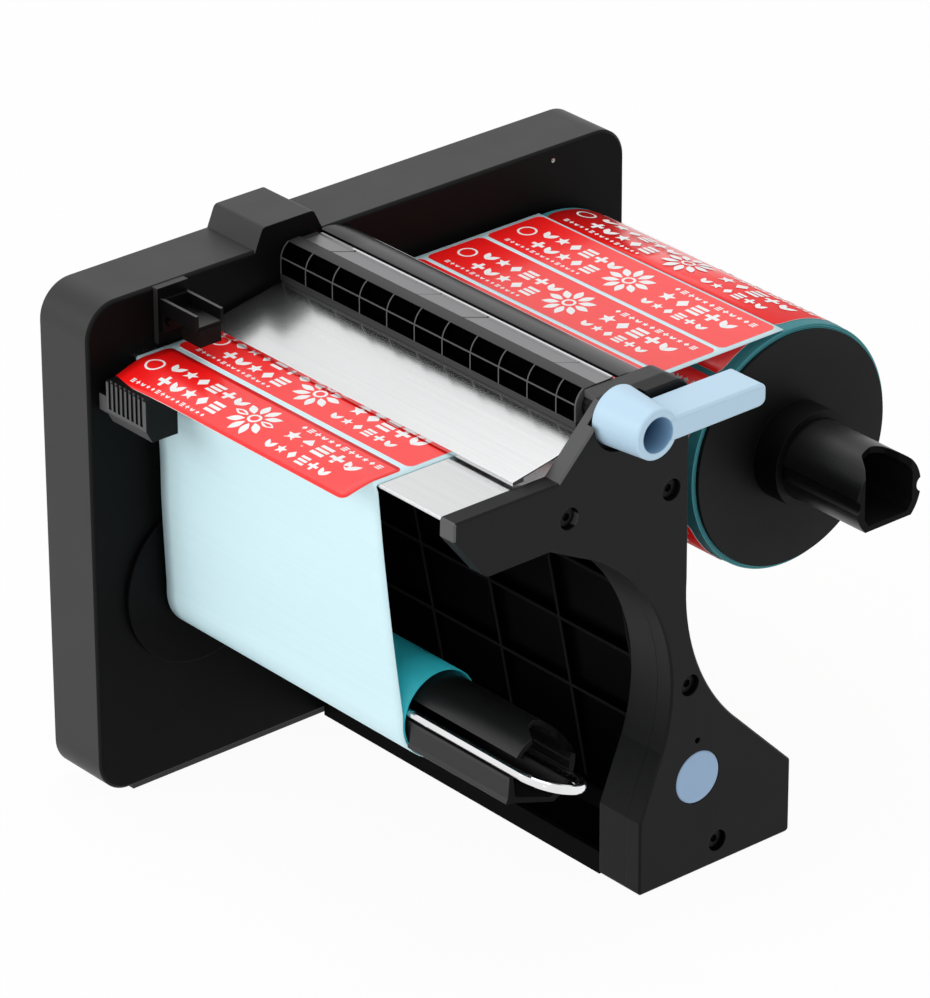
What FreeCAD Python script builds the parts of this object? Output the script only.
import FreeCAD, Part
import Sketcher
import math
import os
import re

os.makedirs("parts", exist_ok=True)
doc = FreeCAD.newDocument("label_dispenser")
V = FreeCAD.Vector

# Driving dimensions in millimetres. X runs from the gearbox housing to the end plate,
# Y to the back, Z up. X = 0 is the housing's inner face, Z = 0 the desk.
SIZES = {
    # gearbox housing
    "shell_depth": 26.0, "shell_half": 118.0, "shell_low": 2.4, "shell_top": 186.0,
    "shell_corner": 12.5, "shell_round": 1.1, "shell_wall": 2.6, "cover_thick": 2.3, "cover_lip": 1.4,
    "plinth_half": 103.0, "foot_half": 5.0, "foot_sunk": 1.2, "frame_origin": 80.0, "bump_top": 193.5, "pad_proud": 2.0,
    # end plate: inner frame and outer cover
    "frame_inner": 145.0, "cover_inner": 158.0, "cover_outer": 165.0,
    "base_front": -20.4, "foot_back": 47.3, "arm_top": 165.0, "arm_tip": -99.8,
    # label web and its two plates
    "web_low": 164.6, "liner_thick": 0.35, "label_thick": 0.25, "liner_left": 3.2,
    "liner_width": 124.0, "label_length": 120.0, "label_width": 25.0, "label_gap": 1.9,
    "peel_edge": -99.6, "plate_thick": 1.2, "plate_front": -69.4, "plate_sheet": 0.8,
    # press bar and lever
    "press_y": -30.0, "press_z": 180.0, "press_shaft_r": 2.5, "bar_left": 0.6,
    "bar_right": 150.6, "bar_columns": 10.0, "bar_rib": 1.2, "hub_start": 161.8,
    "hump_inner": 151.0, "hump_top": 185.9,
    "hub_end": 182.0, "hub_r_big": 10.3, "hub_r_small": 8.7, "hub_bore_r": 6.1,
    "paddle_reach": 46.8, "paddle_left": 166.2,
    # take-up side
    "takeup_y": -74.5, "takeup_z": 73.5, "takeup_shaft_r": 4.0, "takeup_end": 178.0,
    "wound_r": 15.3, "wound_bore_r": 14.8, "takeup_disc_r": 31.0, "wire_r": 1.65,
    # supply side
    "supply_y": 79.0, "supply_z": 120.2, "supply_shaft_r": 5.0, "spindle_r": 14.6,
    "supply_end": 176.0, "roll_r": 44.1, "core_r": 17.4, "core_bore_r": 14.9,
    "flange_r": 42.3, "flange_left": 127.5, "flange_thick": 1.4, "boss_end": 140.0,
    # small things
    "roller_pin_r": 2.0, "roller_r": 4.0, "screw_head_r": 3.3, "screw_shank_r": 1.5, "counterbore_r": 3.9, "fit_gap": 0.05,
}

sheet = doc.addObject("Spreadsheet::Sheet", "Sizes")
for row, (alias, value) in enumerate(SIZES.items(), start=1):
    sheet.set("A%d" % row, alias.replace("_", " "))
    sheet.set("B%d" % row, str(value))
    sheet.setAlias("B%d" % row, alias)
doc.recompute()


class Sizes:
    """The sheet's values as plain attributes."""


d = Sizes()
for alias in SIZES:
    setattr(d, alias, float(sheet.get(alias)))


def ex(text):
    """Turn words in an expression into references to the sheet's cells."""
    return re.sub(r"[a-z_]+[a-z_0-9]*", lambda m: "Sizes." + m.group(0), str(text))


# Outlines

def rounded(points):
    """Edges of a closed outline. A point is (u, v) or (u, v, corner radius); the word
    "arc" with a point makes the stretch between its neighbours an arc through it."""
    corners = [p for p in points if p[0] != "arc"]
    through = {}
    seen = -1
    for p in points:
        if p[0] == "arc":
            through[seen] = V(p[1], p[2], 0)
        else:
            seen += 1
    count = len(corners)
    ends = []
    arcs = []
    for i, p in enumerate(corners):
        here = V(p[0], p[1], 0)
        radius = p[2] if len(p) > 2 else 0
        if not radius:
            ends.append((here, here))
            arcs.append(None)
            continue
        last = V(corners[i - 1][0], corners[i - 1][1], 0) - here
        following = corners[(i + 1) % count]
        ahead = V(following[0], following[1], 0) - here
        last.normalize()
        ahead.normalize()
        half = last.getAngle(ahead) / 2
        middle = last + ahead
        middle.normalize()
        reach = radius / math.tan(half)
        start = here + last * reach
        stop = here + ahead * reach
        top = here + middle * (radius / math.sin(half) - radius)
        ends.append((start, stop))
        arcs.append(Part.Arc(start, top, stop))
    edges = []
    for i in range(count):
        if arcs[i]:
            edges.append(arcs[i])
        start = ends[i][1]
        stop = ends[(i + 1) % count][0]
        if i in through:
            edges.append(Part.Arc(start, through[i], stop))
        elif start.distanceToPoint(stop) > 1e-4:
            edges.append(Part.LineSegment(start, stop))
    return edges


def box_outline(u0, u1, v0, v1, radius=0):
    return [(u0, v0, radius), (u1, v0, radius), (u1, v1, radius), (u0, v1, radius)]


def stud_outline(u, v, radius, sides=8):
    """A regular outline inside a circle: a plain boss or stud out of sight."""
    turns = [2 * math.pi * (i + 0.5) / sides for i in range(sides)]
    return [(u + radius * math.cos(a), v + radius * math.sin(a)) for a in turns]


def hole_outline(u, v, radius, sides=8):
    """A regular outline round a circle: a hole that a round piece of this radius fits."""
    return stud_outline(u, v, radius / math.cos(math.pi / sides), sides)


# PartDesign helpers

def new_body(label):
    body = doc.addObject("PartDesign::Body", label)
    body.Label = label
    return body


def new_sketch(body, role, offset):
    """A sketch on one of the body's own planes, moved along the plane's normal."""
    plane = [f for f in body.Origin.OriginFeatures if f.Role == role][0]
    sketch = body.newObject("Sketcher::SketchObject", "Sketch")
    sketch.AttachmentSupport = (plane, [""])
    sketch.MapMode = "FlatFace"
    sketch.setExpression("AttachmentOffset.Base.z", ex(offset))
    return sketch


def outline_sketch(body, role, offset, *outlines):
    sketch = new_sketch(body, role, offset)
    for points in outlines:
        sketch.addGeometry(rounded(points), False)
    return sketch


def circle_sketch(body, role, offset, circles):
    """Circles whose centre and radius are bound to the sheet."""
    sketch = new_sketch(body, role, offset)
    for u, v, r in circles:
        g = sketch.addGeometry(Part.Circle(V(1, 1, 0), V(0, 0, 1), 1), False)
        for kind, expression in (("DistanceX", u), ("DistanceY", v)):
            c = sketch.addConstraint(Sketcher.Constraint(kind, -1, 1, g, 3, 1.0))
            sketch.setExpression("Constraints[%d]" % c, ex(expression))
        c = sketch.addConstraint(Sketcher.Constraint("Radius", g, 1.0))
        sketch.setExpression("Constraints[%d]" % c, ex(r))
    return sketch


def extrude(body, kind, sketch, length, reverse=False):
    feature = body.newObject("PartDesign::" + kind, kind)
    feature.Profile = sketch
    feature.Reversed = reverse
    feature.setExpression("Length", ex(length))
    sketch.Visibility = False
    return feature


def pad(body, sketch, length, reverse=False):
    return extrude(body, "Pad", sketch, length, reverse)


def pocket(body, sketch, length, reverse=False):
    """A pocket has to take material away, or its direction is wrong."""
    doc.recompute()
    before = body.Shape.Volume
    feature = extrude(body, "Pocket", sketch, length, reverse)
    doc.recompute()
    if body.Shape.Volume > before - 1e-3:
        raise RuntimeError("a pocket cuts nothing in " + body.Label)
    return feature


def dress(body, kind, size, pick):
    """Fillet or chamfer the edges of the body's tip that the test picks."""
    doc.recompute()
    base = body.Tip
    names = ["Edge%d" % i for i, e in enumerate(base.Shape.Edges, start=1) if pick(e)]
    feature = body.newObject("PartDesign::" + kind, kind)
    feature.Base = (base, names)
    setattr(feature, "Radius" if kind == "Fillet" else "Size", size)
    return feature


# Part helpers. Axes of round pieces run along X unless a name says otherwise.

TURN_TO_X = FreeCAD.Rotation(V(0, 1, 0), 90)
pieces = []


def keep(obj, label):
    obj.Label = label
    pieces.append(obj)
    return obj


def place(obj, x, y, z):
    for axis, expression in zip("xyz", (x, y, z)):
        obj.setExpression("Placement.Base." + axis, ex(expression))


def rod(radius, x0, x1, y, z, name="Rod"):
    obj = doc.addObject("Part::Cylinder", name)
    obj.Placement.Rotation = TURN_TO_X
    obj.setExpression("Radius", ex(radius))
    obj.setExpression("Height", ex("%s - (%s)" % (x1, x0)))
    place(obj, x0, y, z)
    return obj


def prism(sides, radius, x0, x1, y, z, name="Prism"):
    obj = doc.addObject("Part::Prism", name)
    obj.Placement.Rotation = TURN_TO_X
    obj.Polygon = sides
    obj.setExpression("Circumradius", ex(radius))
    obj.setExpression("Height", ex("%s - (%s)" % (x1, x0)))
    place(obj, x0, y, z)
    return obj


def block(x0, x1, y0, y1, z0, z1, name="Block"):
    obj = doc.addObject("Part::Box", name)
    obj.setExpression("Length", ex("%s - (%s)" % (x1, x0)))
    obj.setExpression("Width", ex("%s - (%s)" % (y1, y0)))
    obj.setExpression("Height", ex("%s - (%s)" % (z1, z0)))
    place(obj, x0, y0, z0)
    return obj


def cut(base, *tools):
    obj = doc.addObject("Part::Cut", "Cut")
    obj.Base = base
    obj.Tool = tools[0] if len(tools) == 1 else fuse(*tools)
    return obj


def fuse(*parts):
    obj = doc.addObject("Part::MultiFuse", "Fuse")
    obj.Shapes = list(parts)
    return obj


def group(*parts):
    """Separate solids that share one node."""
    obj = doc.addObject("Part::Compound", "Group")
    obj.Links = list(parts)
    return obj


def tube(radius, bore, x0, x1, y, z):
    return cut(rod(radius, x0, x1, y, z), rod(bore, "%s - 1" % x0, "%s + 1" % x1, y, z))


def bush(radius, shaft, x0, x1, y, z):
    """A bush of 16 sides whose bore clears a round shaft."""
    bore = "(%s + fit_gap) * %.5f" % (shaft, 1 / math.cos(math.pi / 16))
    return cut(prism(16, radius, x0, x1, y, z), prism(16, bore, "%s - 1" % x0, "%s + 1" % x1, y, z))


def sheet_along_x(label, points, x0, x1):
    """A flat or bent sheet: its outline in Y and Z, drawn out along X."""
    body = new_body(label)
    pad(body, outline_sketch(body, "YZ_Plane", x0, points), "%s - (%s)" % (x1, x0))
    pieces.append(body)
    return body


# Shared places
SCREWS_END = [(-52.1, 151.2), (-8.4, 147.2), (1.0, 72.2), (14.3, 8.6)]
SCREWS_SHELL = [(-106.5, 14.0), (106.5, 14.0), (106.5, 174.5), (-106.5, 174.5)]
SMALL_TEETH, TAKEUP_TEETH, BIG_TEETH, PINION_TEETH = 12, 40, 36, 12
COARSE, FINE = 1.5, 1.0
IDLER_ANGLE, MOTOR_ANGLE = math.radians(-12), math.radians(-42)
IDLER_DISTANCE = COARSE * (SMALL_TEETH + TAKEUP_TEETH) / 2
MOTOR_DISTANCE = FINE * (BIG_TEETH + PINION_TEETH) / 2
IDLER_Y = d.takeup_y + IDLER_DISTANCE * math.cos(IDLER_ANGLE)
IDLER_Z = d.takeup_z + IDLER_DISTANCE * math.sin(IDLER_ANGLE)
MOTOR_Y = IDLER_Y + MOTOR_DISTANCE * math.cos(MOTOR_ANGLE)
MOTOR_Z = IDLER_Z + MOTOR_DISTANCE * math.sin(MOTOR_ANGLE)
MOTOR_SCREWS = [(MOTOR_Y - 11.4, MOTOR_Z - 11.4), (MOTOR_Y + 11.4, MOTOR_Z + 11.4)]
ROLLER_Y, ROLLER_Z = -5.0, 160.2
ARM_SCREWS_Y, ARM_SCREW_Z = (-86.2, -80.3), 173.2
FEET = [(-13, -90), (-13, 90), (132, -9), (132, 8)]


# Gearbox housing

def shell_outline(inset, radius):
    half = d.shell_half - inset
    return box_outline(-half, half, d.shell_low + inset, d.shell_top - inset, radius)


def drill(body, offset, depth, *holes):
    """Holes of few sides out of sight, as (y, z, radius) or (y, z, radius, sides). They go
    towards -X, or with a depth below zero towards +X."""
    sketch = outline_sketch(body, "YZ_Plane", offset, *[hole_outline(*hole) for hole in holes])
    pocket(body, sketch, abs(depth), depth < 0)


def foot_seats(body, side):
    half = d.foot_half + 0.05
    seats = [box_outline(x - half, x + half, y - half, y + half) for x, y in FEET if side(x)]
    pocket(body, outline_sketch(body, "XY_Plane", 0, *seats), "foot_sunk", True)


def housing_shell():
    body = new_body("housing_shell")
    depth = "0 - shell_depth"
    outer = outline_sketch(body, "YZ_Plane", depth, shell_outline(0, d.shell_corner))
    pad(body, outer, "shell_depth")
    dress(body, "Chamfer", d.shell_round, lambda e: e.BoundBox.XMin > -1e-3)
    dress(body, "Chamfer", 0.5, lambda e: e.BoundBox.XMax < 1e-3 - d.shell_depth)
    bump = [(-47.2, d.shell_top - 1), (-43.6, d.bump_top, 2), (-21.8, d.bump_top, 2),
            (-17.6, d.shell_top - 1)]
    pad(body, outline_sketch(body, "YZ_Plane", depth, bump), "shell_depth")
    plinth = box_outline(-d.plinth_half, d.plinth_half, 0, d.shell_low + 1)
    pad(body, outline_sketch(body, "YZ_Plane", depth + " + 2", plinth), "shell_depth - 4")
    foot_seats(body, lambda x: x < 0)
    arm_pad = box_outline(-90.0, -77.0, d.arm_top + 0.6, d.shell_top - 0.3)
    pad(body, outline_sketch(body, "YZ_Plane", "0 - 2", arm_pad), "pad_proud + 2")
    cavity = outline_sketch(body, "YZ_Plane", depth, shell_outline(d.shell_wall, 10))
    pocket(body, cavity, "shell_depth - shell_wall", True)
    rabbet = outline_sketch(body, "YZ_Plane", depth, shell_outline(d.cover_lip, 11.2))
    pocket(body, rabbet, "cover_thick + 0.1", True)
    posts = [box_outline(y - 4, y + 4, z - 4, z + 4) for y, z in SCREWS_SHELL]
    wall = "0 - shell_wall + 0.2"
    low_posts = outline_sketch(body, "YZ_Plane", wall, *posts)
    pad(body, low_posts, "shell_depth - shell_wall - cover_thick - 0.1", True)
    press_block = box_outline(-41, -19, 173, d.shell_top - 1)
    pad(body, outline_sketch(body, "YZ_Plane", wall, press_block), 9.4, True)
    bosses = [(d.takeup_y, d.takeup_z, 9, 7.8), (IDLER_Y, IDLER_Z, 4, 9.5),
              (d.supply_y, d.supply_z, 10.5, 11.4)]
    for y, z, radius, length in bosses:
        pad(body, outline_sketch(body, "YZ_Plane", wall, stud_outline(y, z, radius)), length, True)
    stand_offs = [box_outline(y - 2, y + 2, z - 2, z + 2) for y in (34, 91) for z in (24, 61)]
    pad(body, outline_sketch(body, "YZ_Plane", wall, *stand_offs), 5.6, True)
    drill(body, 0, 15, (d.takeup_y, d.takeup_z, 6, 16), (d.supply_y, d.supply_z, 7, 16))
    drill(body, 0, 10.5, (d.press_y, d.press_z, 5, 16))
    drill(body, "0 - 3", 9, (IDLER_Y, IDLER_Z, 2.0, 12))
    drill(body, "0 - shell_depth", 0 - 12, *[(y, z, 1.2) for y, z in SCREWS_SHELL])
    drill(body, 1, 3, (84.9, 181.0, 0.8), (ROLLER_Y, ROLLER_Z, d.roller_pin_r + d.fit_gap))
    drill(body, "pad_proud", 3.2, *[(y, ARM_SCREW_Z, 0.75) for y in ARM_SCREWS_Y])
    drill(body, "0 - 4", 0 - 3.2, *[(y, z, 1.2) for y, z in MOTOR_SCREWS])
    rear = outline_sketch(body, "XZ_Plane", "0 - shell_half - 2",
                          box_outline(-19.6, -7.4, 47.4, 66.6),
                          box_outline(-18.6, -8.4, 25.4, 35.6))
    pocket(body, rear, 6, True)
    pieces.append(body)


def housing_cover():
    body = new_body("housing_cover")
    inset = d.cover_lip + 0.1
    offset = "0 - shell_depth"
    pad(body, outline_sketch(body, "YZ_Plane", offset, shell_outline(inset, 11.1)), "cover_thick")
    drill(body, offset, 0 - 4, *[(y, z, 1.7) for y, z in SCREWS_SHELL])
    pieces.append(body)


def housing_screws():
    screws = []
    for y, z in SCREWS_SHELL:
        head = prism(6, 2.9, "0 - shell_depth - 1.6", "0 - shell_depth", y, z)
        shank = prism(8, 1.17, "0 - shell_depth - 0.1", "0 - shell_depth + 11", y, z)
        screws.append(fuse(head, shank))
    keep(group(*screws), "housing_screws")


# End plate

CUTOUT_R = 67.5


def cutout_point(angle):
    a = math.radians(angle)
    return (d.takeup_y + CUTOUT_R * math.cos(a), d.takeup_z + CUTOUT_R * math.sin(a))


def lower_leg():
    """The outline below the arm, from the front of the foot round the back, upwards."""
    low = cutout_point(-20)
    return [(low[0], low[1]), (d.base_front, 27.4), (d.base_front, 0, 1.2),
            (d.foot_back, 0, 1.6), (d.foot_back, 27.6, 1.6), (20.4, 54.4),
            ("arc", 6.7, 74.5), (-0.6, 112)]


def end_frame():
    """The thick inner layer of the end plate, which carries the lower plate."""
    high = cutout_point(61)
    outline = lower_leg() + [(-0.6, 163.2), (-60.5, 163.2), (-60.5, 143.4), (-46.5, 136.5),
                             (high[0], high[1]), ("arc",) + cutout_point(20)]
    body = new_body("end_frame")
    pad(body, outline_sketch(body, "YZ_Plane", "frame_inner", outline), "cover_inner - frame_inner")
    hump = [(-33.7, 160), (-1, 160), (-1, d.hump_top, 6), (-33.7, d.hump_top)]
    pad(body, outline_sketch(body, "YZ_Plane", "hump_inner", hump), "cover_inner - hump_inner")
    drill(body, "cover_inner", 8, (d.press_y, d.press_z, 5, 16))
    drill(body, "frame_inner - 1", 0 - 5, (ROLLER_Y, ROLLER_Z, d.roller_pin_r + d.fit_gap))
    drill(body, "cover_inner", 11, *[(y, z, d.screw_shank_r + d.fit_gap) for y, z in SCREWS_END])
    pieces.append(body)


def end_cover():
    """The outer layer: leg, forward arm and the hump round the lever's hub."""
    high = cutout_point(66)
    outline = lower_leg() + [(-0.8, d.hump_top, 6), (-35.6, d.hump_top, 1.5), (-56.4, d.arm_top),
                             (d.arm_tip, d.arm_top, 1), (d.arm_tip - 0.2, 158.4, 1),
                             (-86.6, 141.6, 4), (-59.7, 141.6), (high[0], high[1]),
                             ("arc",) + cutout_point(22)]
    body = new_body("end_cover")
    pad(body, outline_sketch(body, "YZ_Plane", "cover_inner", outline), "cover_outer - cover_inner")

    def outer_rim(e):
        box = e.BoundBox
        on_face = abs(box.XMin - d.cover_outer) < 1e-3 and abs(box.XMax - d.cover_outer) < 1e-3
        return on_face and box.ZMax < 190

    dress(body, "Chamfer", 0.6, outer_rim)
    hub_seat = [("press_y", "press_z", 11.6)]
    pocket(body, circle_sketch(body, "YZ_Plane", "cover_outer", hub_seat), 3.6)
    drill(body, "cover_outer", 8, (d.press_y, d.press_z, 5, 16))
    heads = [(y, z, "counterbore_r") for y, z in SCREWS_END]
    pocket(body, circle_sketch(body, "YZ_Plane", "cover_outer", heads), 4)
    drill(body, "cover_outer", 8, *[(y, z, d.screw_shank_r + d.fit_gap) for y, z in SCREWS_END])
    pocket(body, circle_sketch(body, "YZ_Plane", "cover_outer", [(5.0, 36.2, 9.6)]), 1.6)
    drill(body, "cover_outer", 3, (4.7, 50.2, 1.1))
    pieces.append(body)


def end_screws():
    screws = []
    for y, z in SCREWS_END:
        head = prism(24, "screw_head_r", "cover_outer - 3.9", "cover_outer - 1.7", y, z)
        shank = prism(8, "screw_shank_r", "cover_outer - 17", "cover_outer - 3.8", y, z)
        socket = prism(6, 1.5, "cover_outer - 2.8", "cover_outer", y, z)
        screws.append(cut(fuse(head, shank), socket))
    keep(group(*screws), "end_cover_screws")


def end_cap():
    body = new_body("end_cap")
    pad(body, circle_sketch(body, "YZ_Plane", "cover_outer - 1.55", [(5.0, 36.2, 9.45)]), 1.75)
    dress(body, "Chamfer", 0.4, lambda e: e.BoundBox.XMin > d.cover_outer)
    pieces.append(body)


# Base between the housing and the end plate

def base_frame():
    """Floor with a front lip and a leaning wall, ribbed on the side of the take-up."""
    wall = [(-20.4, 0), (17.9, 0), (9.2, 48), (-1, 100), (-1, 154.8), (-3.4, 154.8),
            (-3.4, 100), (6.8, 48), (15.1, 4.6), (-18, 4.6), (-18, 8.4), (-20.4, 8.4)]
    body = new_body("base_frame")
    pad(body, outline_sketch(body, "YZ_Plane", 0, wall), "frame_inner")
    rib_reach = 3.0

    def wall_y(z):
        if z > 100:
            return -3.4
        if z > 48:
            return -3.4 + (100 - z) * 10.2 / 52
        return 6.8 + (48 - z) * 8.3 / 43.4

    for z in (45.5, 73.0, 101.0, 129.0):
        shelf = [(wall_y(z) - rib_reach, z - 0.6), (wall_y(z) + 1, z - 0.6),
                 (wall_y(z) + 1, z + 0.6), (wall_y(z) - rib_reach, z + 0.6)]
        pad(body, outline_sketch(body, "YZ_Plane", 0, shelf), "frame_inner")
    upright = [(wall_y(z) + 1, z) for z in (8, 48, 100, 153)]
    upright += [(wall_y(z) - rib_reach, z) for z in (153, 100, 48, 8)]
    for x in (30, 66, 102, 138):
        pad(body, outline_sketch(body, "YZ_Plane", x - 0.6, upright), 1.2)
    foot_seats(body, lambda x: x > 0)
    pieces.append(body)


def rear_cover():
    """A thin moulding behind the base, in line with the end plate's back edge."""
    outer = [(18.2, 0), (47.1, 0), (47.1, 27.5, 1.6), (20.4, 54.3), ("arc", 11.6, 66.4),
             (7.0, 75.0), (5.2, 74.2), ("arc", 9.9, 65.1), (18.8, 52.7), (44.9, 26.6),
             (44.9, 2.4), (18.2, 2.4)]
    sheet_along_x("rear_cover", outer, 0, "frame_inner")


def rubber_feet():
    feet = []
    for x, y in FEET:
        half = d.foot_half
        feet.append(block(x - half, x + half, y - half, y + half, 0, "foot_sunk - 0.05"))
    keep(group(*feet), "rubber_feet")


# Plates that guide and peel the web

def peel_plate():
    top = d.web_low - 0.05
    low = top - d.plate_thick
    outline = [(-10, low), (-10, top), (d.peel_edge + 0.6, top), ("arc", d.peel_edge, top - 0.6),
               (d.peel_edge + 0.6, low)]
    body = sheet_along_x("peel_plate", outline, 0.1, "cover_inner - 0.1")
    notch = box_outline(150.8, 160, -34.0, -8)
    pocket(body, outline_sketch(body, "XY_Plane", low - 1, notch), 4, True)


def upper_plate():
    """Sheet from the press bar down to the web, with its front edge folded under."""
    front = d.plate_front
    base = d.web_low + d.liner_thick + d.label_thick + 0.3
    rise = 0.19
    t = d.plate_sheet
    flat = 172.55

    def under(y):
        return base + 0.6 + (y - front) * rise

    outline = [(front, base), (front + 4.6, base), (front + 4.6, under(front + 4.6)),
               (-37.2, under(-37.2)), (-37.2, flat - 0.8), (-34.3, flat - 0.8), (-34.3, flat),
               (-38.2, flat), (front, under(front) + t)]
    sheet_along_x("upper_plate", outline, 2, "cover_inner - 0.6")


def rear_hood():
    """Curved sheet behind the press bar; its cut edge shows as a bright line."""
    outline = [(-19, 184.9), (-19, 186), ("arc", -12.2, 185.5), (-6.2, 183.1), (-6.2, 181.9),
               (-7, 181.9), ("arc", -12.4, 184.3)]
    sheet_along_x("rear_hood", outline, 0.1, "hump_inner - 0.1")


def guide_roller():
    roller = rod("roller_r", 1, "frame_inner - 1", ROLLER_Y, ROLLER_Z)
    pins = prism(8, "roller_pin_r", "0 - 1.6", "frame_inner + 3.6", ROLLER_Y, ROLLER_Z)
    keep(fuse(roller, pins), "guide_roller")


# Press bar with its lever

def press_bar():
    """Moulded bar with a round back about the shaft and two rows of pockets in front."""
    y = d.press_y
    z = d.press_z
    outline = [(y - 7, z), ("arc", y - 5.9, z + 3.7), (y - 3.6, z + 6.0), (y - 0.3, z + 6.2),
               (y - 0.3, z + 5.6), (y + 8.8, z + 5.6), (y + 8.8, z + 4.4), (y + 5.4, z + 3.6),
               (y + 5.4, z - 3, 2), (y + 2.5, z - 5.2), (y - 4.2, z - 5.2), (y - 4.2, z - 7.4),
               (y - 7, z - 7.4)]
    body = new_body("press_bar")
    pad(body, outline_sketch(body, "YZ_Plane", "bar_left", outline), "bar_right - bar_left")
    pitch = (d.bar_right - d.bar_left) / d.bar_columns
    left = d.bar_left + d.bar_rib / 2 + 0.3
    right = d.bar_left + pitch - d.bar_rib / 2 + 0.2
    front = 0 - y + 9
    rows = outline_sketch(body, "XZ_Plane", front,
                          box_outline(left, right, z - 4.9, z + 0.2),
                          box_outline(left, right, z + 1.1, z + 5.1))
    cells = pocket(body, rows, 5.3)
    doc.recompute()
    pattern = body.newObject("PartDesign::LinearPattern", "Cells")
    pattern.Originals = [cells]
    x_axis = [f for f in body.Origin.OriginFeatures if f.Role == "X_Axis"][0]
    pattern.Direction = (x_axis, [""])
    pattern.setExpression("Length", ex("(bar_right - bar_left) * (bar_columns - 1) / bar_columns"))
    pattern.Occurrences = int(d.bar_columns)
    body.Tip = pattern
    bore = [("press_y", "press_z", "press_shaft_r + 0.02")]
    pocket(body, circle_sketch(body, "YZ_Plane", "bar_left - 1", bore), 170, True)
    pieces.append(body)


def bar_strip():
    """Bright metal strip on the bar, its rear edge turned up."""
    y = d.press_y
    z = d.press_z
    outline = [(y - 0.2, z + 5.65), (y + 8.8, z + 5.65), (y + 8.8, z + 6.7), (y + 7.8, z + 6.7),
               (y + 7.6, z + 6.2), (y - 0.2, z + 6.2)]
    sheet_along_x("bar_strip", outline, "bar_left", "bar_right")


def press_shaft():
    shaft = rod("press_shaft_r", "0 - 10", "hub_start + 8", "press_y", "press_z")
    thread = prism(8, 1.65, "hub_start - 4", "hub_start + 9", "press_y", "press_z")
    keep(cut(shaft, thread), "press_shaft")


def press_bushes():
    left = bush(4.98, "press_shaft_r", "0 - 10.4", "0 - 0.1", "press_y", "press_z")
    right = bush(4.98, "press_shaft_r", "hump_inner + 0.2", "cover_outer - 3.8", "press_y",
                 "press_z")
    keep(group(left, right), "press_bushes")


def lever():
    """Tapered hub round the shaft with a flat paddle that points to the back."""
    body = new_body("lever")
    y = d.press_y
    z = d.press_z
    tip = y + d.paddle_reach
    side = [(y, z - 4.2), (tip, z - 4.0, 2.8), (tip, z + 4.0, 2.8), (y, z + 4.2)]
    pad(body, outline_sketch(body, "YZ_Plane", "paddle_left", side), "hub_end + 0.3 - paddle_left")

    def paddle_rim(e):
        box = e.BoundBox
        return box.XLength < 1e-3 and box.YMax > y + 1

    dress(body, "Chamfer", 0.9, paddle_rim)
    half = new_sketch(body, "XY_Plane", "press_z")
    profile = [(d.hub_start, y), (d.hub_end, y), (d.hub_end, y - d.hub_r_small + 0.6),
               (d.hub_end - 0.6, y - d.hub_r_small), (d.hub_start + 0.4, y - d.hub_r_big),
               (d.hub_start, y - d.hub_r_big + 0.4)]
    half.addGeometry(rounded(profile), False)
    half.addGeometry(Part.LineSegment(V(d.hub_start, y, 0), V(d.hub_end, y, 0)), True)
    turn = body.newObject("PartDesign::Revolution", "Hub")
    turn.Profile = half
    turn.ReferenceAxis = (half, ["Axis0"])
    turn.Angle = 360
    pocket(body, circle_sketch(body, "YZ_Plane", "hub_end + 1", [(y, z, "hub_bore_r")]), 13)
    drill(body, "hub_end + 1", 30, (y, z, d.press_shaft_r + 0.02, 16))
    pieces.append(body)


def lever_screw():
    seat = "hub_end - 12"
    head = prism(24, 4.4, seat, seat + " + 2.6", "press_y", "press_z")
    shank = prism(8, 1.5, "hub_start - 3", seat + " + 0.1", "press_y", "press_z")
    cross = [block(seat + " + 1.2", seat + " + 3", d.press_y - a, d.press_y + a, d.press_z - b,
                   d.press_z + b) for a, b in ((2.6, 0.45), (0.45, 2.6))]
    keep(cut(fuse(head, shank), *cross), "lever_screw")


# Sensors

def sensor_arm():
    floor = block("pad_proud", 21.2, -89, -77.5, 176.6, 177.8)
    walls = [block("pad_proud", 21.2, y, y + 1.2, 176.6, 182) for y in (-89, -78.7)]
    root = block("pad_proud", "pad_proud + 1.6", -89, -77.5, 170, 182)
    holes = [prism(8, 0.85, 0, 5, y, ARM_SCREW_Z) for y in ARM_SCREWS_Y]
    keep(cut(fuse(floor, root, *walls), *holes), "sensor_arm")


def sensor_head():
    case = block(12, 21.5, -87.7, -78.8, 170.5, 176.6)
    lens = block(14.4, 19.2, -85.6, -80.8, 169.9, 171)
    keep(fuse(case, lens), "sensor_head")


def sensor_arm_screws():
    screws = []
    for y in ARM_SCREWS_Y:
        head = prism(8, 1.5, "pad_proud + 1.6", "pad_proud + 2.6", y, ARM_SCREW_Z)
        shank = prism(6, 0.7, "pad_proud - 3", "pad_proud + 1.7", y, ARM_SCREW_Z)
        screws.append(fuse(head, shank))
    keep(group(*screws), "sensor_arm_screws")


def sensor_guide():
    channel = block(0, 3.3, -86, -55, 146.6, 157.4)
    track = block(0.4, 2.65, -87, -54, 148.9, 155.1)
    mouth = block(2, 4, -87, -54, 150.4, 153.6)
    keep(cut(channel, track, mouth), "sensor_guide")


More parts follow.
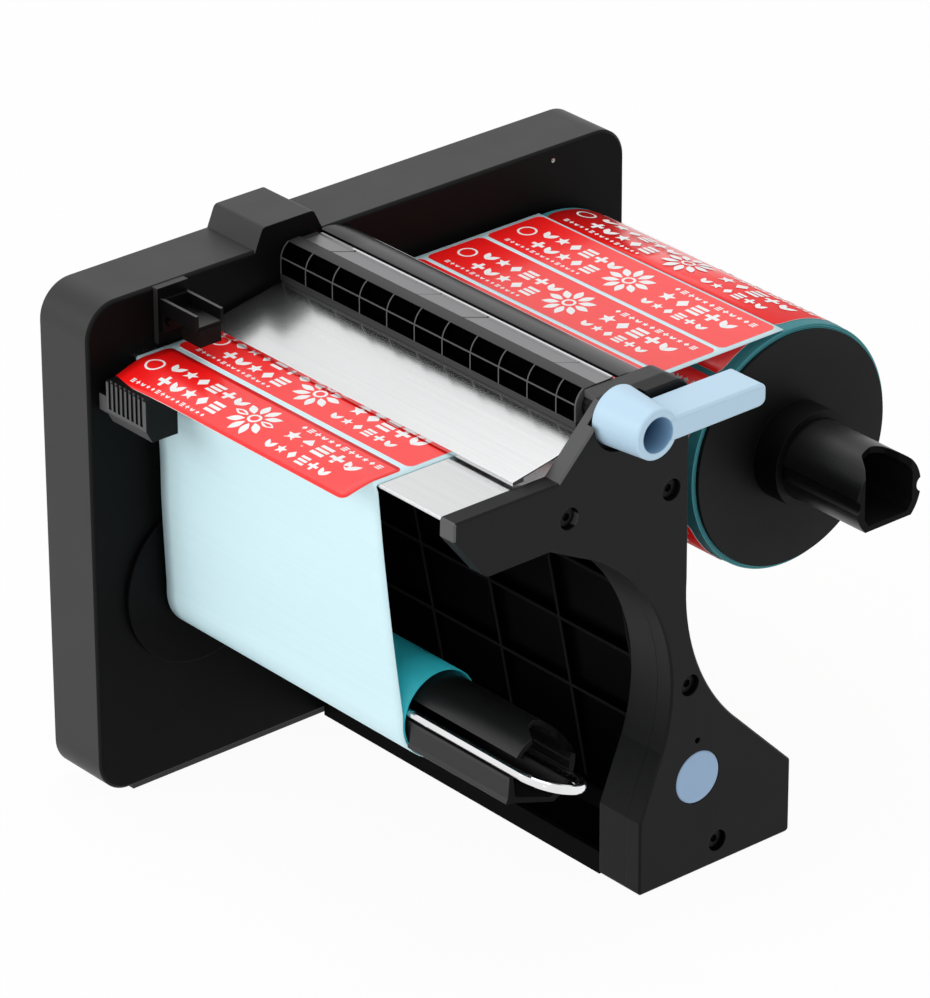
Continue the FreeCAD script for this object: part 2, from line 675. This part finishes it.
def sensor_carriage():
    """A block with a ridged front on a flat arm that slides in the guide."""
    body = new_body("sensor_carriage")
    side = [(-115, 150.4), (-112.6, 146), (-102, 146), (-102, 161.8), (-115, 161.8, 0.8)]
    pad(body, outline_sketch(body, "YZ_Plane", 5.7, side), 21.3)
    groove = outline_sketch(body, "XZ_Plane", 116, box_outline(7.0, 8.4, 151.6, 163))
    first = pocket(body, groove, 1.8)
    doc.recompute()
    pattern = body.newObject("PartDesign::LinearPattern", "Ridges")
    pattern.Originals = [first]
    x_axis = [f for f in body.Origin.OriginFeatures if f.Role == "X_Axis"][0]
    pattern.Direction = (x_axis, [""])
    pattern.Length = 16.8
    pattern.Occurrences = 8
    body.Tip = pattern
    arm = box_outline(-114, -57, 149, 155)
    pad(body, outline_sketch(body, "YZ_Plane", 0.5, arm), 2.1)
    neck = box_outline(-114, -110, 149, 155)
    pad(body, outline_sketch(body, "YZ_Plane", 0.5, neck), 5.6)
    pieces.append(body)


# Drive inside the housing

def tooth(module, teeth, phase):
    """Outline of one involute tooth from root to root."""
    pitch_r = module * teeth / 2
    base_r = pitch_r * math.cos(math.radians(20))
    half = math.pi / 2 / teeth - 0.05 / pitch_r

    def involute(r):
        a = math.acos(min(1.0, base_r / r))
        return math.tan(a) - a

    root_r = pitch_r - 1.25 * module
    start_r = max(base_r, root_r)
    tip_r = pitch_r + 0.95 * module
    steps = 2
    radii = [start_r + (tip_r - start_r) * i / steps for i in range(steps + 1)]
    side = [(r, half + involute(pitch_r) - involute(r)) for r in radii]
    if start_r - root_r > 0.3:
        side.insert(0, (root_r, side[0][1]))
    both = [(r, -a) for r, a in side] + [(r, a) for r, a in reversed(side)]
    return [(r * math.cos(a + phase), r * math.sin(a + phase)) for r, a in both]


def toothed_wheel(body, module, teeth, phase, x0, width):
    """A wheel about the body's X axis, all its teeth in one outline."""
    outline = []
    for number in range(teeth):
        outline += tooth(module, teeth, phase + 2 * math.pi * number / teeth)
    pad(body, outline_sketch(body, "YZ_Plane", x0, outline), width)


def takeup_gear():
    body = new_body("takeup_gear")
    toothed_wheel(body, COARSE, TAKEUP_TEETH, IDLER_ANGLE, "0 - 15.2", 4)
    drill(body, "0 - 16", 0 - 6, (0, 0, d.takeup_shaft_r + 0.02, 16))
    place(body, 0, "takeup_y", "takeup_z")
    pieces.append(body)


def idler_gear():
    body = new_body("idler_gear")
    toothed_wheel(body, COARSE, SMALL_TEETH, IDLER_ANGLE + math.pi + math.pi / SMALL_TEETH,
                  "0 - 15.7", 3.4)
    toothed_wheel(body, FINE, BIG_TEETH, MOTOR_ANGLE, "0 - 19.4", 3.8)
    drill(body, "0 - 20", 0 - 9, (0, 0, 2.06, 12))
    body.Placement.Base = V(0, IDLER_Y, IDLER_Z)
    pieces.append(body)


def motor_pinion():
    body = new_body("motor_pinion")
    toothed_wheel(body, FINE, PINION_TEETH, MOTOR_ANGLE + math.pi + math.pi / PINION_TEETH,
                  "0 - 19.6", 4.2)
    pad(body, outline_sketch(body, "YZ_Plane", "0 - 15.5", stud_outline(0, 0, 1.45)), 3)
    body.Placement.Base = V(0, MOTOR_Y, MOTOR_Z)
    pieces.append(body)


def idler_pin():
    pin = prism(12, 1.99, "0 - 20.4", "0 - 3.2", IDLER_Y, IDLER_Z)
    head = prism(12, 3.4, "0 - 21.4", "0 - 19.7", IDLER_Y, IDLER_Z)
    keep(fuse(pin, head), "idler_pin")


def motor():
    can = prism(24, 13.2, "0 - 14.9", "0 - 2.7", MOTOR_Y, MOTOR_Z)
    ears = []
    for y, z in MOTOR_SCREWS:
        ears.append(block("0 - 4.7", "0 - 2.7", y - 3.6, y + 3.6, z - 3.6, z + 3.6))
    shaft_hole = prism(12, 1.55, "0 - 15.5", "0 - 12", MOTOR_Y, MOTOR_Z)
    holes = [prism(8, 1.4, "0 - 6", "0 - 2", y, z) for y, z in MOTOR_SCREWS]
    keep(cut(fuse(can, *ears), shaft_hole, *holes), "motor")


def motor_screws():
    screws = []
    for y, z in MOTOR_SCREWS:
        screws.append(fuse(prism(8, 2.4, "0 - 6.2", "0 - 4.7", y, z),
                           prism(6, 1.15, "0 - 4.8", "0 - 1", y, z)))
    keep(group(*screws), "motor_screws")


def circuit_board():
    board = block("0 - 9.6", "0 - 8", 28, 97, 18, 67)
    chips = [block("0 - 11.4", "0 - 9.5", 40, 54, 34, 48), block("0 - 12", "0 - 9.5", 60, 66, 22, 30),
             block("0 - 16", "0 - 9.5", 84, 95, 40, 52)]
    cans = [prism(12, 4, "0 - 19", "0 - 9.5", 72, z) for z in (36, 48)]
    keep(fuse(board, *(chips + cans)), "circuit_board")


def dc_inlet():
    case = block("0 - 18.5", "0 - 8.5", 104, "shell_half", 25.5, 35.5)
    hole = doc.addObject("Part::Prism", "Socket")
    hole.Polygon = 16
    hole.Circumradius = 3.2
    hole.Height = 10
    hole.Placement = FreeCAD.Placement(V(-13.5, 109, 30.5), FreeCAD.Rotation(V(1, 0, 0), -90))
    pin = doc.addObject("Part::Prism", "Pin")
    pin.Polygon = 8
    pin.Circumradius = 1
    pin.Height = 8
    pin.Placement = FreeCAD.Placement(V(-13.5, 108.5, 30.5), FreeCAD.Rotation(V(1, 0, 0), -90))
    keep(fuse(cut(case, hole), pin), "dc_inlet")


def switch_case():
    case = block("0 - 19.5", "0 - 7.5", 105, "shell_half + 0.2", 47.5, 66.5)
    room = block("0 - 17.6", "0 - 9.4", 108, 120, 48.3, 65.7)
    axle = prism(12, 1.3, "0 - 18.6", "0 - 8.4", 114, 57)
    keep(cut(case, room, axle), "switch_case")


def rocker():
    outline = [(112.4, 50.6), (119.4, 49.8), (117.9, 57), (116.6, 64.2), (112.4, 63.4)]
    body = new_body("rocker")
    pad(body, outline_sketch(body, "YZ_Plane", "0 - 17.3", outline), 7.6)
    pad(body, outline_sketch(body, "YZ_Plane", "0 - 18.4", stud_outline(114, 57, 1.2)), 9.8)
    pieces.append(body)


def shaft_bushes():
    keep(bush(5.98, "takeup_shaft_r", "0 - 10.2", "0 - 0.1", "takeup_y", "takeup_z"),
         "takeup_bush")
    keep(bush(6.98, "supply_shaft_r", "0 - 13.8", "0 - 0.1", "supply_y", "supply_z"),
         "supply_bush")


# Take-up side

def about(y, z, points):
    """Outline points given from an axis at (y, z)."""
    moved = []
    for p in points:
        if p[0] == "arc":
            moved.append(("arc", y + p[1], z + p[2]))
        else:
            moved.append((y + p[0], z + p[1]) + tuple(p[2:]))
    return moved


WIRE_OUT = (-12.4, 4.15)
WIRE_IN = (9.2, -4.1)


def takeup_spindle():
    """Shell with an open slot for the wire clip, on a shaft that runs in the housing."""
    y = d.takeup_y
    z = d.takeup_z
    shell = about(y, z, [(-10.9, 8.3), ("arc", 9.9, 9.7), (4.6, -13.2), (-12.2, -7.6),
                         (-13.4, -5.2), (-14.0, 2.2), (-12.4, 2.2), (-11.7, -5.0),
                         (-10.8, -6.2), (3.9, -11.3), ("arc", 8.6, 8.3), (-9.6, 7.2)])
    toe = about(y, z, [(-13.9, 1), (-14.5, -5.2), (-15.6, -7.0, 0.5), (-6, -9.2), (-6, -8.6),
                       (-12.4, -5.8), (-12.8, 1)])
    notch = [(d.takeup_end + 1, y - 5.1), (171.9, y - 0.8, 2), (169.4, y + 3.5, 2.5),
             (169.4, y + 8, 2.5), (172, y + 11.2, 1.5), (175, y + 12.9, 1),
             (d.takeup_end + 1, y + 14.6)]
    body = new_body("takeup_spindle")
    pad(body, outline_sketch(body, "YZ_Plane", 2, shell), "takeup_end - 2")
    pad(body, outline_sketch(body, "YZ_Plane", 129, toe), "takeup_end - 129")
    pad(body, outline_sketch(body, "YZ_Plane", 2, stud_outline(y, z, 12, 16)), 5)
    axle = circle_sketch(body, "YZ_Plane", "0 - 16.4", [("takeup_y", "takeup_z", "takeup_shaft_r")])
    pad(body, axle, 20)
    guide = (y + WIRE_IN[0], z + WIRE_IN[1])
    pad(body, outline_sketch(body, "YZ_Plane", 148, stud_outline(*guide, 3.4)), 8)
    drill(body, 157, 10, guide + (d.wire_r + d.fit_gap,))
    pocket(body, outline_sketch(body, "XY_Plane", "takeup_z + 17", notch), 16)
    pieces.append(body)


def takeup_disc():
    disc = rod("takeup_disc_r", 0.4, 1.95, "takeup_y", "takeup_z")
    bore = prism(16, "(takeup_shaft_r + 0.02) * 1.0196", 0, 3, "takeup_y", "takeup_z")
    keep(cut(disc, bore), "takeup_disc")


def wound_liner():
    keep(tube("wound_r", "wound_bore_r", "liner_left", "liner_left + liner_width", "takeup_y",
              "takeup_z"), "wound_liner")


def wire_clip():
    """Two straight legs and a half ring, swept as one wire of 16 sides."""
    outer = V(0, d.takeup_y + WIRE_OUT[0], d.takeup_z + WIRE_OUT[1])
    inner = V(0, d.takeup_y + WIRE_IN[0], d.takeup_z + WIRE_IN[1])
    start = V(9, 0, 0)
    bend = V(d.takeup_end + 4, 0, 0)
    half = (outer - inner).Length / 2
    top = (outer + inner) * 0.5 + bend + V(half, 0, 0)
    path = Part.Wire([Part.LineSegment(outer + start, outer + bend).toShape(),
                      Part.Arc(outer + bend, top, inner + bend).toShape(),
                      Part.LineSegment(inner + bend, inner + start).toShape()])
    ring = stud_outline(outer.y, outer.z, d.wire_r, 16)
    corners = [V(9, y, z) for y, z in ring]
    section = Part.makePolygon(corners + corners[:1])
    wire = doc.addObject("Part::Feature", "Wire")
    wire.Shape = path.makePipeShell([section], True, False)
    keep(wire, "wire_clip")


# Supply side

def supply_spindle():
    """Hollow spindle, flat below, with a shallow scallop on each side and a notched end."""
    y = d.supply_y
    z = d.supply_z
    r = d.spindle_r
    body = new_body("supply_spindle")
    outline = about(y, z, [(10.45, -10.2), ("arc", 13.9, -4.45), (14.35, -2.7),
                           ("arc", 12.7, -0.1), (14.38, 2.5), ("arc", 0, r), (-14.38, 2.5),
                           ("arc", -12.7, -0.1), (-14.35, -2.7), ("arc", -13.9, -4.45),
                           (-10.45, -10.2)])
    pad(body, outline_sketch(body, "YZ_Plane", 3, outline), "supply_end - 3")
    hollow = about(y, z, [(8.9, -8.4), (11.0, -5.3), (11.0, 5.3), ("arc", 0, 12.2),
                          (-11.0, 5.3), (-11.0, -5.3), (-8.9, -8.4)])
    pocket(body, outline_sketch(body, "YZ_Plane", "supply_end", hollow), "supply_end - 9")
    notch = [(d.supply_end + 1, y - 11.8), (173.3, y - 8.7, 2), (167.6, y - 5.2, 3),
             (166.2, y + 0.5, 4), (168, y + 4.6, 3), (173, y + 7.4, 2), (d.supply_end + 1, y + 11)]
    pocket(body, outline_sketch(body, "XY_Plane", "supply_z + 17", notch), 12.6)
    axle = circle_sketch(body, "YZ_Plane", "0 - 17", [("supply_y", "supply_z", "supply_shaft_r")])
    pad(body, axle, 21)
    pieces.append(body)


def supply_rounds():
    left = "liner_left"
    right = "liner_left + liner_width"
    nut = prism(6, 8.6, "0 - 16.6", "0 - 14.1", "supply_y", "supply_z")
    bore = prism(16, "(supply_shaft_r + 0.02) * 1.0196", "0 - 18", "0 - 13", "supply_y",
                 "supply_z")
    keep(cut(nut, bore), "supply_collar")
    keep(tube("core_r", "core_bore_r", left, right, "supply_y", "supply_z"), "roll_core")
    keep(tube("roll_r", "core_r + 0.1", left, right, "supply_y", "supply_z"), "label_roll")


def supply_flange():
    disc = rod("flange_r", "flange_left", "flange_left + flange_thick", "supply_y", "supply_z")
    boss = rod(17.6, "flange_left", "boss_end", "supply_y", "supply_z")
    bore = rod("spindle_r + fit_gap", "flange_left - 1", "cover_inner", "supply_y", "supply_z")
    keep(cut(fuse(disc, boss), bore), "supply_flange")


# Web

def liner():
    """One thin strip: flat from the roll to the peel edge, then down to the winding."""
    low = d.web_low
    t = d.liner_thick
    edge = d.peel_edge
    end_y = d.takeup_y - d.wound_r - 0.35
    outline = [(d.supply_y, low), (edge - 0.1, low, 0.5), (end_y, d.takeup_z),
               (end_y - t, d.takeup_z), (edge - 0.1 - t, low + t, 0.9), (d.supply_y, low + t)]
    sheet_along_x("liner", outline, "liner_left", "liner_left + liner_width")


def label_outline(y0):
    x0 = d.liner_left + 2
    x1 = x0 + d.label_length
    y1 = y0 + d.label_width
    c = 0.9
    return [(x0 + c, y0), (x1 - c, y0), (x1, y0 + c), (x1, y1 - c), (x1 - c, y1), (x0 + c, y1),
            (x0, y1 - c), (x0, y0 + c)]


def labels():
    """Labels on the flat part of the liner, one solid each."""
    strips = []
    pitch = d.label_width + d.label_gap
    for i in range(6):
        body = new_body("label_%d" % i)
        sketch = outline_sketch(body, "XY_Plane", "web_low + liner_thick",
                                label_outline(-85.0 + i * pitch))
        pad(body, sketch, "label_thick")
        strips.append(body)
    keep(group(*strips), "labels")


def front_label():
    """The label that has left its liner and hangs over the peel edge."""
    low = d.web_low + d.liner_thick
    t = d.label_thick
    side = [(-87.4, low), (d.peel_edge, low), (-112.4, low - 2.2), (-112.45, low - 2.2 + t),
            (d.peel_edge, low + t), (-87.4, low + t)]
    body = new_body("front_label")
    pad(body, outline_sketch(body, "YZ_Plane", "liner_left + 2", side), "label_length")
    pieces.append(body)


for build in (housing_shell, housing_cover, housing_screws, end_frame, end_cover, end_screws,
              end_cap, base_frame, rear_cover, rubber_feet, peel_plate, upper_plate, rear_hood,
              guide_roller, press_bar, bar_strip, press_shaft, press_bushes, lever, lever_screw,
              sensor_arm, sensor_head, sensor_arm_screws, sensor_guide, sensor_carriage,
              takeup_gear, idler_gear, motor_pinion, idler_pin, motor, motor_screws,
              circuit_board, dc_inlet, switch_case, rocker, shaft_bushes, takeup_spindle,
              takeup_disc, wound_liner, wire_clip, supply_spindle, supply_rounds, supply_flange,
              liner, labels, front_label):
    build()
for piece in pieces:
    x = piece.Placement.Base.x
    piece.setExpression("Placement.Base.x", ex("%s - frame_origin" % x))
doc.recompute()
bad = []
for piece in pieces:
    shape = piece.Shape
    state = " ".join(piece.State)
    if "Invalid" in state or "Error" in state or shape.isNull() or not shape.isValid():
        bad.append(piece.Label)
if bad:
    raise RuntimeError("bad shapes: " + ", ".join(bad))
for piece in pieces:
    piece.Shape.exportStep("parts/%s.step" % piece.Label)
